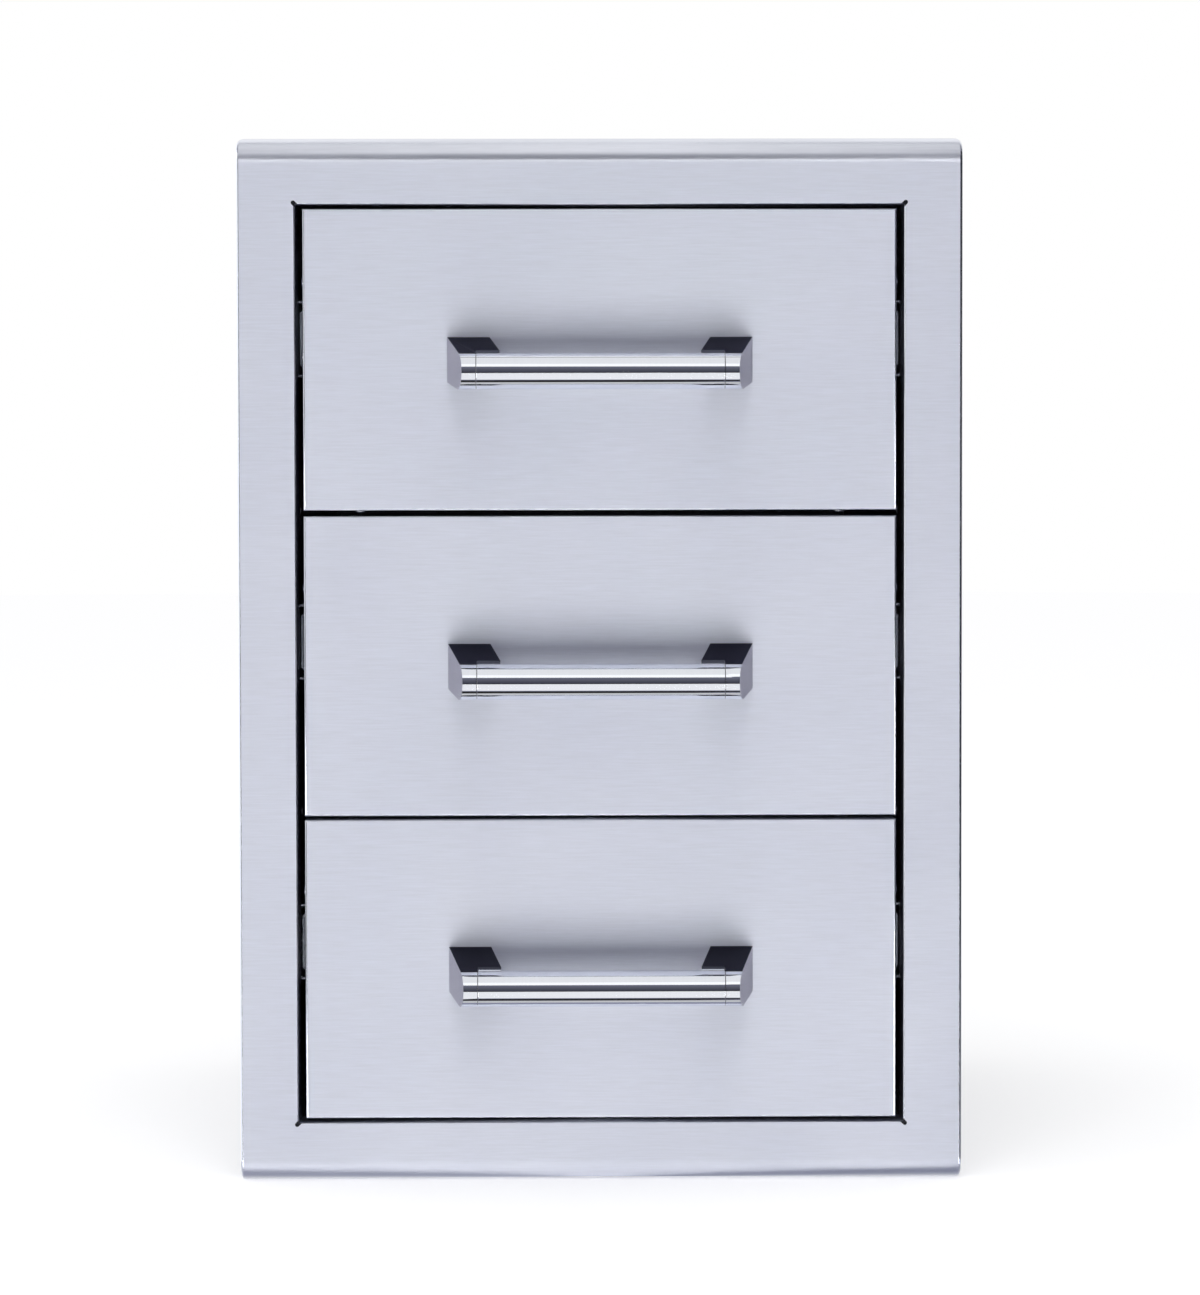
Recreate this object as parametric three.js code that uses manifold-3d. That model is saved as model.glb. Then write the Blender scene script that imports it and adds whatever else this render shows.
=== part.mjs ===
// A built-in drawer unit for an outdoor kitchen: three drawers behind one folded steel trim frame.
// Millimetres, +X to the right, +Y into the island, +Z up. The trim's rear lips lie on the plane y = 0,
// against the face of the island, and the origin is the middle of the lower lip.

import * as THREE from 'three';
import { mergeVertices } from 'three/addons/utils/BufferGeometryUtils.js';
import Module from 'manifold-3d';

const wasm = await Module();
wasm.setup();

// Clearances
const seat = 0.3; // between pieces that rest on, or slide past, each other
const overrun = 2; // how far a cutting solid runs past what it cuts

// Trim frame: one folded sheet with a roll along its top and bottom edges
const trimWidth = 432;
const trimHeight = 622.5;
const trimDepth = 19;
const trimSheet = 1.2;
const trimRollRadius = 12.5;
const trimSideRadius = 2;
const trimCornerRadius = 3.5;
const trimLip = 12;
const topBorder = 39.6;
const bottomBorder = 34.6;
const sideBorder = 34.9;
const openingFlangeDepth = 27;
const openingEdgeRadius = 1.1;
const reliefSlotWidth = 1.9;
const reliefSlotReach = 2.5;

// Case: two sides, a top, a bottom and a back behind the trim
const caseSheet = 1;
const caseDepth = 510;
const caseLap = 18;
const sideRearFlange = 15;
const coverFlange = 12;
const coverFlangeSetback = 4;
const screwHoleDiameter = 5;
const screwHoleInset = 40;
const ventSlotWidth = 6;
const ventSlotLength = 60;
const ventSlotPitch = 16;
const ventSlotInset = 70;
const ventSlotCount = 6;

// Drawer fronts, from the top of the opening down
const drawerCount = 3;
const gapOverUpperFront = 2.9;
const gapOverMiddleFront = 3.5;
const gapOverLowerFront = 2.4;
const gapUnderLowerFront = 2.9;
const frontSideGap = 4.45;
const frontSheet = 1.2;
const frontDepth = 18;
const frontBendRadius = 1.9;
const linerSheet = 1;
const linerFlange = 10;
const linerAccessDiameter = 12;

// Drawer box
const tubSheet = 1;
const tubLift = 20;
const tubHeight = 130;
const tubFrontFlange = 14;
const tubTopFlange = 7;
const backFlange = 12;
const backDrop = 3;

// Telescopic slides, two to a drawer: an outer, a middle and an inner rail on two cages of balls
const slideSpace = 13.2;
const slideLift = 103;
const slideStopLength = 10;
const railSetback = 2;
const railRearSpace = 40;
const railSheet = 1.2;
const railBendRadius = 0.6;
const outerRailHeight = 45.5;
const outerRailDepth = 10.4;
const middleRailDepth = 8.6;
const innerRailDepth = 7.6;
const raceLip = 4.1;
const outerBallRadius = 2;
const outerBallOffset = 4.5;
const innerBallRadius = 1.6;
const innerBallOffset = 3.2;
const cageSheet = 0.5;
const outerCageDepth = 7;
const innerCageDepth = 5.7;
const cageMargin = 15;
const ballEndMargin = 8;
const ballsPerRow = 4;

// Handles: a round bar between two posts that lean towards each other
const barDiameter = 21.3;
const barWall = 1.5;
const barReach = 32.8;
const barDrop = 7.8;
const postSpread = 181.7;
const postWidth = 25.2;
const postHeight = 26.8;
const postLean = 7.25;
const postCapWidth = 10.5;
const cradleReach = 29;
const handleScrewDiameter = 5;
const handleTapDiameter = 4.2;
const handleTapDepth = 16;

// Half the steps of each arc: in a small bend, a roll, a hole and a bar
const bendSteps = 1;
const rollSteps = 4;
const holeSteps = 6;
const barSteps = 14;

// Planes that several pieces share
const trimFace = -trimDepth;
const trimBottom = -trimLip / 2;
const trimTop = trimBottom + trimHeight;
const openingBottom = trimBottom + bottomBorder;
const openingTop = trimTop - topBorder;
const openingWidth = trimWidth - 2 * sideBorder;
const openingHalf = openingWidth / 2;
const openingRear = trimFace + openingFlangeDepth;

const caseFront = openingRear - caseLap;
const caseRear = caseFront + caseDepth;
const caseInner = openingHalf + trimSheet + seat;
const caseOuter = caseInner + caseSheet;
const caseBottomInner = openingBottom - trimSheet - seat;
const caseTopInner = openingTop + trimSheet + seat;
const caseBottom = caseBottomInner - caseSheet;
const caseTop = caseTopInner + caseSheet;

const frontGaps = gapOverUpperFront + gapOverMiddleFront + gapOverLowerFront + gapUnderLowerFront;
const frontHeight = (openingTop - openingBottom - frontGaps) / drawerCount;
const frontHalf = openingHalf - frontSideGap;
const frontRear = trimFace + frontDepth;

const railFront = openingRear + railSetback;
const railRear = caseRear - railRearSpace;
const railLength = railRear - railFront;
const slideTravel = railLength - slideStopLength;
const cageLength = railLength - slideTravel / 2 - cageMargin;
const cageFront = railFront + (railLength - cageLength) / 2;

const tubFront = frontRear + seat;
const tubRear = railRear + seat;
const tubHalf = caseInner - slideSpace;
const tubTop = tubLift + tubHeight;

// Geometry helpers

// The closed geometry as a solid that can be joined and cut
function solidOf(geometry) {
  geometry.deleteAttribute('normal');
  geometry.deleteAttribute('uv');
  const merged = mergeVertices(geometry);
  return new wasm.Manifold(new wasm.Mesh({
    numProp: 3,
    vertProperties: merged.attributes.position.array,
    triVerts: new Uint32Array(merged.index.array),
  }));
}

// The solid as a geometry with flat faces
function geometryOf(solid) {
  const { vertProperties, triVerts } = solid.getMesh();
  const indexed = new THREE.BufferGeometry();
  indexed.setAttribute('position', new THREE.BufferAttribute(vertProperties, 3));
  indexed.setIndex(new THREE.BufferAttribute(triVerts, 1));
  const geometry = indexed.toNonIndexed();
  geometry.computeVertexNormals();
  return geometry;
}

const join = (...solids) => solids.reduce((whole, piece) => whole.add(piece));
const cut = (solid, ...tools) => tools.reduce((left, tool) => left.subtract(tool), solid);
const common = (...solids) => solids.reduce((shared, piece) => shared.intersect(piece));

// The range of the given size about a centre
const about = (centre, size) => [centre - size / 2, centre + size / 2];

// A box over a range of X, of Y and of Z
function block([x0, x1], [y0, y1], [z0, z1]) {
  const box = new THREE.BoxGeometry(x1 - x0, y1 - y0, z1 - z0);
  return solidOf(box.translate((x0 + x1) / 2, (y0 + y1) / 2, (z0 + z1) / 2));
}

// A closed outline through the corners, each given as its two coordinates and its rounding radius
function outline(corners) {
  const shape = new THREE.Shape();
  corners.forEach(([u, v, radius], i) => {
    const corner = new THREE.Vector2(u, v);
    if (!radius) {
      if (i === 0) shape.moveTo(u, v);
      else shape.lineTo(u, v);
      return;
    }
    const [bu, bv] = corners.at(i - 1);
    const [au, av] = corners[(i + 1) % corners.length];
    const back = new THREE.Vector2(bu, bv).sub(corner).normalize();
    const ahead = new THREE.Vector2(au, av).sub(corner).normalize();
    const halfAngle = Math.acos(back.dot(ahead)) / 2;
    const toCentre = back.clone().add(ahead).setLength(radius / Math.sin(halfAngle));
    const centre = corner.clone().add(toCentre);
    const reach = radius / Math.tan(halfAngle);
    const start = corner.clone().addScaledVector(back, reach);
    const end = corner.clone().addScaledVector(ahead, reach);
    const startAngle = start.clone().sub(centre).angle();
    const endAngle = end.sub(centre).angle();
    if (i > 0) shape.lineTo(start.x, start.y);
    shape.absarc(centre.x, centre.y, radius, startAngle, endAngle, back.cross(ahead) > 0);
  });
  return shape;
}

// The directions that an outline's two coordinates and its extrusion take for each axis
const alongX = new THREE.Vector3(1, 0, 0);
const alongY = new THREE.Vector3(0, 1, 0);
const alongZ = new THREE.Vector3(0, 0, 1);
const extrusionBases = {
  x: new THREE.Matrix4().makeBasis(alongY, alongZ, alongX),
  y: new THREE.Matrix4().makeBasis(alongX, alongZ, alongY.clone().negate()),
  z: new THREE.Matrix4().makeBasis(alongX, alongY, alongZ),
};

// An outline extruded over a range of one axis: drawn in (y, z) for x, (x, z) for y and (x, y) for z
function prismGeometry(axis, shape, [from, to], steps = bendSteps) {
  const options = { depth: to - from, curveSegments: steps, bevelEnabled: false };
  const geometry = new THREE.ExtrudeGeometry(shape, options).applyMatrix4(extrusionBases[axis]);
  if (axis === 'x') return geometry.translate(from, 0, 0);
  if (axis === 'y') return geometry.translate(0, to, 0);
  return geometry.translate(0, 0, from);
}

const prism = (...extrusion) => solidOf(prismGeometry(...extrusion));

// A round rod along one axis, through the given point of the plane across it
function rod(axis, [u, v], radius, range, steps = holeSteps) {
  const circle = new THREE.Shape();
  circle.absarc(u, v, radius, 0, 2 * Math.PI);
  return prism(axis, circle, range, steps);
}

// A rectangle with its own rounding at the low and the high corners of its first coordinate
function rectangle([u0, u1], [v0, v1], lowRadius, highRadius) {
  return outline([[u0, v0, lowRadius], [u1, v0, highRadius], [u1, v1, highRadius], [u0, v1, lowRadius]]);
}

// Trim frame

// The trim's outer form, shrunk by the inset and open to the given rear plane
function trimForm(inset, rear) {
  const half = trimWidth / 2 - inset;
  const front = trimFace + inset;
  const low = trimBottom + inset;
  const high = trimTop - inset;
  const roll = trimRollRadius - inset;
  const side = trimSideRadius - inset;
  const corner = trimCornerRadius - inset;
  const sideView = rectangle([front, rear], [low, high], roll, 0);
  const planView = outline([[-half, front, side], [half, front, side], [half, rear], [-half, rear]]);
  const frontView = rectangle([-half, half], [low, high], corner, corner);
  return common(
    prism('x', sideView, [-half - overrun, half + overrun], rollSteps),
    prism('z', planView, [low - overrun, high + overrun]),
    prism('y', frontView, [front - overrun, rear + overrun]),
  );
}

// What rounds the sharp edge at (u, v): the square corner less a quarter circle. The signs point into the
// metal.
function edgeRounding(u, v, uSign, vSign, radius) {
  const shape = new THREE.Shape();
  const centre = [u + uSign * radius, v + vSign * radius];
  const startAngle = uSign > 0 ? Math.PI : 0;
  const endAngle = vSign > 0 ? -Math.PI / 2 : Math.PI / 2;
  shape.moveTo(u - uSign * overrun, v - vSign * overrun);
  shape.lineTo(u - uSign * overrun, centre[1]);
  shape.absarc(centre[0], centre[1], radius, startAngle, endAngle, uSign * vSign < 0);
  shape.lineTo(centre[0], v - vSign * overrun);
  return shape;
}

// The slot that parts two folds at a corner of the opening, at 45 degrees to both
function reliefSlot(xSign, z, zSign) {
  const end = reliefSlotWidth / 2;
  const slot = rectangle([-overrun, reliefSlotReach], about(0, reliefSlotWidth), 0, end);
  const through = [trimFace - overrun, openingRear + overrun];
  const angle = -Math.atan2(zSign, xSign);
  return solidOf(prismGeometry('y', slot, through).rotateY(angle).translate(xSign * openingHalf, 0, z));
}

function frontFrame() {
  const lips = trimForm(0, 0);
  const hollow = trimForm(trimSheet, -trimSheet);
  const rearWindow = block(
    about(0, trimWidth - 2 * trimLip),
    [-trimSheet - overrun, overrun],
    [trimBottom + trimLip, trimTop - trimLip],
  );
  const flange = block(
    about(0, openingWidth + 2 * trimSheet),
    [trimFace + trimSheet / 2, openingRear],
    [openingBottom - trimSheet, openingTop + trimSheet],
  );
  const opening = block(
    about(0, openingWidth),
    [trimFace - overrun, openingRear + overrun],
    [openingBottom, openingTop],
  );
  const acrossOpening = [-openingHalf, openingHalf];
  const upOpening = [openingBottom, openingTop];
  const roundings = [
    prism('x', edgeRounding(trimFace, openingTop, 1, 1, openingEdgeRadius), acrossOpening),
    prism('x', edgeRounding(trimFace, openingBottom, 1, -1, openingEdgeRadius), acrossOpening),
    prism('z', edgeRounding(openingHalf, trimFace, 1, 1, openingEdgeRadius), upOpening),
    prism('z', edgeRounding(-openingHalf, trimFace, -1, 1, openingEdgeRadius), upOpening),
  ];
  const slots = [-1, 1].flatMap((xSign) => [
    reliefSlot(xSign, openingBottom, -1),
    reliefSlot(xSign, openingTop, 1),
  ]);
  return cut(join(cut(lips, hollow, rearWindow), flange), opening, ...roundings, ...slots);
}

// Case

// The heights of the planes between the drawers, where the screws into the island go
const screwHoleHeights = [
  openingBottom + gapUnderLowerFront + frontHeight,
  openingTop - gapOverUpperFront - frontHeight,
];

// The right side: a sheet with its rear edge folded inwards
function caseSide() {
  const sheet = block([caseInner, caseOuter], [caseFront, caseRear], [caseBottom, caseTop]);
  const flange = block(
    [caseInner - sideRearFlange, caseOuter],
    [caseRear - caseSheet, caseRear],
    [caseBottom, caseTop],
  );
  const acrossSheet = [caseInner - overrun, caseOuter + overrun];
  const holes = screwHoleHeights.flatMap((z) => [
    rod('x', [railFront + screwHoleInset, z], screwHoleDiameter / 2, acrossSheet),
    rod('x', [railRear - screwHoleInset, z], screwHoleDiameter / 2, acrossSheet),
  ]);
  return cut(join(sheet, flange), ...holes);
}

// The top or the bottom: a sheet between the sides with its long edges folded towards the drawers
function caseCover(inner, outer) {
  const half = caseInner - seat;
  const inwards = Math.sign(inner - outer);
  const rear = caseRear - caseSheet - seat;
  const span = (a, b) => [Math.min(a, b), Math.max(a, b)];
  const sheet = block([-half, half], [caseFront, rear], span(inner, outer));
  const folds = [-1, 1].map((xSign) => block(
    span(xSign * half, xSign * (half - caseSheet)),
    [openingRear + coverFlangeSetback, rear],
    span(outer, inner + inwards * (coverFlange - caseSheet)),
  ));
  return join(sheet, ...folds);
}

// The back: a sheet with two rows of vent slots, and its top and bottom edges folded forwards
function caseBack() {
  const plate = rectangle([-caseOuter, caseOuter], [caseBottom, caseTop], 0, 0);
  const rowLength = (ventSlotCount - 1) * ventSlotPitch;
  for (const z of [caseBottom + ventSlotInset, caseTop - ventSlotInset]) {
    for (let i = 0; i < ventSlotCount; i++) {
      const x = i * ventSlotPitch - rowLength / 2;
      const end = ventSlotWidth / 2;
      plate.holes.push(rectangle(about(x, ventSlotWidth), about(z, ventSlotLength), end, end));
    }
  }
  const sheet = prism('y', plate, [caseRear + seat, caseRear + seat + caseSheet]);
  const half = caseInner - sideRearFlange - seat;
  const foldDepth = [caseRear - coverFlange, caseRear + seat + caseSheet];
  const folds = [
    block([-half, half], foldDepth, [caseTopInner - seat - caseSheet, caseTopInner - seat]),
    block([-half, half], foldDepth, [caseBottomInner + seat, caseBottomInner + seat + caseSheet]),
  ];
  return join(sheet, ...folds);
}

// Drawer, drawn above z = 0 at the lower edge of its front

const handleHeight = frontHeight / 2;
const postCentre = (postSpread - postWidth) / 2;

// A tray of the given half width over a range of z, open at the rear
function tray(half, [low, high], [front, rear], radius, sheet) {
  const form = (inset, back) => common(
    prism('x', rectangle([front + inset, back], [low + inset, high - inset], radius - inset, 0),
      [inset - half - overrun, half - inset + overrun]),
    prism('z', outline([
      [inset - half, front + inset, radius - inset],
      [half - inset, front + inset, radius - inset],
      [half - inset, back],
      [inset - half, back],
    ]), [low + inset, high - inset]),
  );
  return cut(form(0, rear), form(sheet, rear + overrun));
}

// The visible front: a tray with its open side to the rear and a hole for each handle screw
function drawerFront() {
  const pan = tray(frontHalf, [0, frontHeight], [trimFace, frontRear], frontBendRadius, frontSheet);
  const throughFace = [trimFace - overrun, trimFace + frontSheet + overrun];
  const holes = [-postCentre, postCentre].map((x) => (
    rod('y', [x, handleHeight], handleScrewDiameter / 2, throughFace)
  ));
  return cut(pan, ...holes);
}

// The liner that closes the front from behind: a plate with its edges folded forwards inside the front
function drawerLiner() {
  const half = frontHalf - frontSheet - seat;
  const low = frontSheet + seat;
  const high = frontHeight - low;
  const front = frontRear - linerFlange;
  const inner = [front - overrun, frontRear - linerSheet];
  const body = block([-half, half], [front, frontRear], [low, high]);
  const hollow = block(about(0, 2 * (half - linerSheet)), inner, [low + linerSheet, high - linerSheet]);
  const throughPlate = [frontRear - linerSheet - overrun, frontRear + overrun];
  const accessHoles = [-postCentre, postCentre].map((x) => (
    rod('y', [x, handleHeight], linerAccessDiameter / 2, throughPlate)
  ));
  return cut(body, hollow, ...accessHoles);
}

// The tub: bottom and sides in one sheet, flanged round its front and along the tops of its sides
function drawerTub() {
  const body = block([-tubHalf, tubHalf], [tubFront, tubRear], [tubLift, tubTop]);
  const hollow = block(
    about(0, 2 * (tubHalf - tubSheet)),
    [tubFront + tubSheet, tubRear + overrun],
    [tubLift + tubSheet, tubTop + overrun],
  );
  const frontWindow = block(
    about(0, 2 * (tubHalf - tubFrontFlange)),
    [tubFront - overrun, tubFront + tubSheet + overrun],
    [tubLift + tubFrontFlange, tubTop + overrun],
  );
  const topFlanges = [-1, 1].map((xSign) => block(
    about(xSign * (tubHalf + tubTopFlange / 2 - tubSheet / 2), tubTopFlange + tubSheet),
    [tubFront, tubRear],
    [tubTop - tubSheet, tubTop],
  ));
  return join(cut(body, hollow, frontWindow), ...topFlanges);
}

// The drawer's back: a plate between the tub's sides with three edges folded forwards
function drawerBack() {
  const half = tubHalf - tubSheet - seat;
  const low = tubLift + tubSheet + seat;
  const high = tubTop - backDrop;
  const body = block([-half, half], [tubRear - backFlange, tubRear], [low, high]);
  const hollow = block(
    about(0, 2 * (half - tubSheet)),
    [tubRear - backFlange - overrun, tubRear - tubSheet],
    [low + tubSheet, high + overrun],
  );
  return cut(body, hollow);
}

// Handle, drawn about the middle of its base on the drawer front: y = 0 there and z = 0 at mid height

const barRadius = barDiameter / 2;
const capInner = (postSpread - 2 * postLean) / 2 - postCapWidth;
const barHalfLength = capInner - seat;

// The bar, a tube along X through its own origin
function handleBar() {
  const ring = new THREE.Shape();
  ring.absarc(0, 0, barRadius, 0, 2 * Math.PI);
  const bore = new THREE.Path();
  bore.absarc(0, 0, barRadius - barWall, 0, 2 * Math.PI, true);
  ring.holes.push(bore);
  return prism('x', ring, [-barHalfLength, barHalfLength], barSteps);
}

// The angle, seen from the bar's centre, at which the line from a point of the base touches the bar
function tangentAngle(z, turn) {
  const toPoint = new THREE.Vector2(barReach, z + barDrop);
  return toPoint.angle() + turn * Math.acos(barRadius / toPoint.length());
}

// The right post: its base and the bar's round front joined by flat faces, with a cradle for the bar's end
function handlePost() {
  const sideView = new THREE.Shape();
  sideView.moveTo(0, -postHeight / 2);
  sideView.lineTo(0, postHeight / 2);
  sideView.absarc(-barReach, -barDrop, barRadius, tangentAngle(postHeight / 2, 1),
    tangentAngle(-postHeight / 2, -1));

  const outerBase = postSpread / 2;
  const innerBase = outerBase - postWidth;
  const depth = barReach + barRadius + overrun;
  const lean = postLean * depth / barReach;
  const planView = outline([
    [innerBase, 0],
    [innerBase - lean, -depth],
    [outerBase - lean, -depth],
    [outerBase, 0],
  ]);
  const acrossPost = [innerBase - lean - overrun, outerBase + overrun];
  const upPost = about(0, postHeight + 2 * barDrop + 2 * barDiameter);
  const beyondCap = [acrossPost[0] - overrun, capInner];
  const form = common(
    prism('x', sideView, acrossPost, rollSteps),
    prism('z', planView, upPost),
  );
  return cut(
    form,
    block(beyondCap, [-depth - overrun, -cradleReach], upPost),
    rod('x', [-barReach, -barDrop], barRadius + seat, beyondCap, barSteps),
    rod('y', [postCentre, 0], handleTapDiameter / 2, [-handleTapDepth, overrun]),
  );
}

// Slides, drawn for the right-hand side of a drawer: s runs from the case's inner face to the drawer

const outerHalf = outerRailHeight / 2;
const outerBallHeight = outerHalf - railSheet - seat - outerBallRadius;
const middleHalf = outerBallHeight - outerBallRadius - seat;
const innerBallHeight = middleHalf - railSheet - seat - innerBallRadius;
const innerHalf = innerBallHeight - innerBallRadius - seat;

const outerRailBack = seat;
const outerCageBack = outerRailBack + railSheet + seat;
const middleRailBack = outerCageBack + cageSheet + seat;
const innerCageBack = middleRailBack + railSheet + seat;
const innerRailBack = slideSpace - seat;

// A channel section from its back at s, with or without lips turned in at its open side
function channel(s, depth, half, sheet, lip) {
  const turn = Math.sign(depth);
  const x = (distance) => caseInner - s - turn * distance;
  const reach = Math.abs(depth);
  const bend = railBendRadius;
  const upperHalf = [
    [x(sheet), half - sheet],
    ...(lip ? [[x(reach - sheet), half - sheet], [x(reach - sheet), half - lip]] : []),
    [x(reach), half - (lip || sheet)],
    [x(reach), half, lip ? bend : 0],
    [x(0), half, bend],
  ];
  const lowerHalf = upperHalf.map(([u, v, radius]) => [u, -v, radius]).reverse();
  return outline([...upperHalf, ...lowerHalf]);
}

const rail = (s, depth, half, lip) => (
  prism('y', channel(s, depth, half, railSheet, lip), [railFront, railRear])
);
const outerRail = () => rail(outerRailBack, outerRailDepth, outerHalf, raceLip);
const middleRail = () => rail(middleRailBack, middleRailDepth, middleHalf, raceLip);
const innerRail = () => rail(innerRailBack, -innerRailDepth, innerHalf, 0);

// A cage: a thin channel with a row of balls held in each of its flanges
function cage(s, depth, ballHeight, ballRadius, ballOffset) {
  const strip = prism('y', channel(s, depth, ballHeight + cageSheet / 2, cageSheet, 0),
    [cageFront, cageFront + cageLength]);
  const pitch = (cageLength - 2 * ballEndMargin) / (ballsPerRow - 1);
  const balls = [-1, 1].flatMap((zSign) => Array.from({ length: ballsPerRow }, (_, i) => {
    const y = cageFront + ballEndMargin + i * pitch;
    const ball = new THREE.IcosahedronGeometry(ballRadius);
    return solidOf(ball.translate(caseInner - s - ballOffset, y, zSign * ballHeight));
  }));
  return join(strip, ...balls);
}

const outerCage = () => (
  cage(outerCageBack, outerCageDepth, outerBallHeight, outerBallRadius, outerBallOffset)
);
const innerCage = () => (
  cage(innerCageBack, innerCageDepth, innerBallHeight, innerBallRadius, innerBallOffset)
);

// Materials, one for each mesh
const metal = (color, roughness) => () => (
  new THREE.MeshStandardMaterial({ color, roughness, metalness: 1 })
);
const brushedSteel = metal(0xc4c6cf, 0.36);
const plainSteel = metal(0xb4b6bb, 0.42);
const polishedSteel = metal(0xd4d6db, 0.16);
const castSteel = metal(0xa9aab2, 0.3);
const platedSteel = metal(0x9fa3a8, 0.34);
const ballSteel = metal(0x8f9398, 0.25);

// Assembly

const unit = new THREE.Group();

// A named mesh of the solid in the parent group
function place(parent, name, solid, material) {
  const mesh = new THREE.Mesh(geometryOf(solid), material());
  mesh.name = name;
  parent.add(mesh);
  return mesh;
}

// A right-hand piece and its mirror image on the left
function placePair(parent, name, solid, material) {
  place(parent, `${name}_right`, solid, material);
  place(parent, `${name}_left`, solid, material).scale.x = -1;
}

place(unit, 'front_frame', frontFrame(), brushedSteel);
place(unit, 'case_right_side', caseSide(), plainSteel);
place(unit, 'case_left_side', caseSide(), plainSteel).scale.x = -1;
place(unit, 'case_top', caseCover(caseTopInner, caseTop), plainSteel);
place(unit, 'case_bottom', caseCover(caseBottomInner, caseBottom), plainSteel);
place(unit, 'case_back', caseBack(), plainSteel);

function addDrawer(name, bottom) {
  const drawer = new THREE.Group();
  drawer.position.z = bottom;
  unit.add(drawer);
  place(drawer, `${name}_drawer_front`, drawerFront(), brushedSteel);
  place(drawer, `${name}_drawer_liner`, drawerLiner(), plainSteel);
  place(drawer, `${name}_drawer_tub`, drawerTub(), plainSteel);
  place(drawer, `${name}_drawer_back`, drawerBack(), plainSteel);

  const handle = new THREE.Group();
  handle.position.set(0, trimFace - seat, handleHeight);
  drawer.add(handle);
  const bar = place(handle, `${name}_handle_bar`, handleBar(), polishedSteel);
  bar.position.set(0, -barReach, -barDrop);
  placePair(handle, `${name}_handle_post`, handlePost(), castSteel);

  const slides = new THREE.Group();
  slides.position.z = slideLift;
  drawer.add(slides);
  placePair(slides, `${name}_outer_rail`, outerRail(), platedSteel);
  placePair(slides, `${name}_middle_rail`, middleRail(), platedSteel);
  placePair(slides, `${name}_inner_rail`, innerRail(), platedSteel);
  placePair(slides, `${name}_outer_cage`, outerCage(), ballSteel);
  placePair(slides, `${name}_inner_cage`, innerCage(), ballSteel);
}

const lowerFrontBottom = openingBottom + gapUnderLowerFront;
const middleFrontBottom = lowerFrontBottom + frontHeight + gapOverLowerFront;
const upperFrontBottom = middleFrontBottom + frontHeight + gapOverMiddleFront;
addDrawer('upper', upperFrontBottom);
addDrawer('middle', middleFrontBottom);
addDrawer('lower', lowerFrontBottom);

export default unit;
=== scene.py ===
# %% [markdown]
# # An outdoor kitchen drawer unit
#
# Three drawers slide behind one folded steel trim. The CAD model gives every piece its place, so this
# lesson only has to give each piece its fine shape and its finish. Work is in metres: X runs to the
# right, Y into the island and Z up.

# %% Load the frame
from math import atan2, degrees, pi, radians, tan

import bmesh
import bpy
from mathutils import Matrix, Vector


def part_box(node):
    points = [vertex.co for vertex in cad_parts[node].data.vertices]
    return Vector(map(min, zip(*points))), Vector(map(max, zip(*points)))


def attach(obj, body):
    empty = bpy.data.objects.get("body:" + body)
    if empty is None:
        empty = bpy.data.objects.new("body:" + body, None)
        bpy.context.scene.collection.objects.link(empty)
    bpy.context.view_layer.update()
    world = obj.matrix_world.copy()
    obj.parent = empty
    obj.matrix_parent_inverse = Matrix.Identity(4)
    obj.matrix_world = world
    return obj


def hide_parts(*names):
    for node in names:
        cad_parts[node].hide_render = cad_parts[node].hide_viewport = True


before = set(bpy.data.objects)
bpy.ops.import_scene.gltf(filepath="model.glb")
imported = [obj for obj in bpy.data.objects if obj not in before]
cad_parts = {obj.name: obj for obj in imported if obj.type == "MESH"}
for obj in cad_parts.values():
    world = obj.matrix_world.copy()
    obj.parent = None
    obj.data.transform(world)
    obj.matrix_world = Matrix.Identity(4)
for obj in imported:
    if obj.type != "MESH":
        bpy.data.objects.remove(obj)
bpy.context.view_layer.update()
mm = 0.001

# %% [markdown]
# ## The camera
#
# The photograph was taken almost square on with a long lens, a little above the middle of the unit. The
# place, the tilt and the lens were found by fitting the corners of the trim and of its opening. The
# turns are applied one after the other: first a small roll about the line of sight, then the tilt, and
# last the turn about the vertical.

# %% Camera
camera_place = Vector((-24.7, -2419, 406.4)) * mm
camera_tilt = 0.0388
camera_turn = -0.0102
camera_roll = -0.0018
lens_length, film_width = 111.96, 36

camera = bpy.data.objects.new("camera", bpy.data.cameras.new("camera"))
bpy.context.scene.collection.objects.link(camera)
camera.data.lens = lens_length
camera.data.sensor_width = film_width
camera.matrix_world = (
    Matrix.Translation(camera_place)
    @ Matrix.Rotation(camera_turn, 4, "Z")
    @ Matrix.Rotation(pi / 2 - camera_tilt, 4, "X")
    @ Matrix.Rotation(camera_roll, 4, "Z")
)
bpy.context.scene.camera = camera
bpy.context.scene.view_settings.view_transform = "Standard"
print("camera at", [round(v, 3) for v in camera_place])

# %% [markdown]
# ## Helpers for modelling by hand
#
# Blender's operators act on whatever is selected, so each helper starts from a clean selection. A piece
# begins as a box or a strip of sheet at its real size, its faces and edges are picked by where they lie,
# and modifiers are applied at once, so the finished mesh is all there is.

# %% Selection helpers
square = 0.99
touching = 0.02 * mm
large_area = 0.1


def calm():
    """Leave edit mode and select nothing."""
    if bpy.context.object and bpy.context.object.mode != "OBJECT":
        bpy.ops.object.mode_set(mode="OBJECT")
    bpy.ops.object.select_all(action="DESELECT")


def take(piece):
    """Select one piece, in object mode."""
    calm()
    piece.select_set(True)
    bpy.context.view_layer.objects.active = piece


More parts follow.
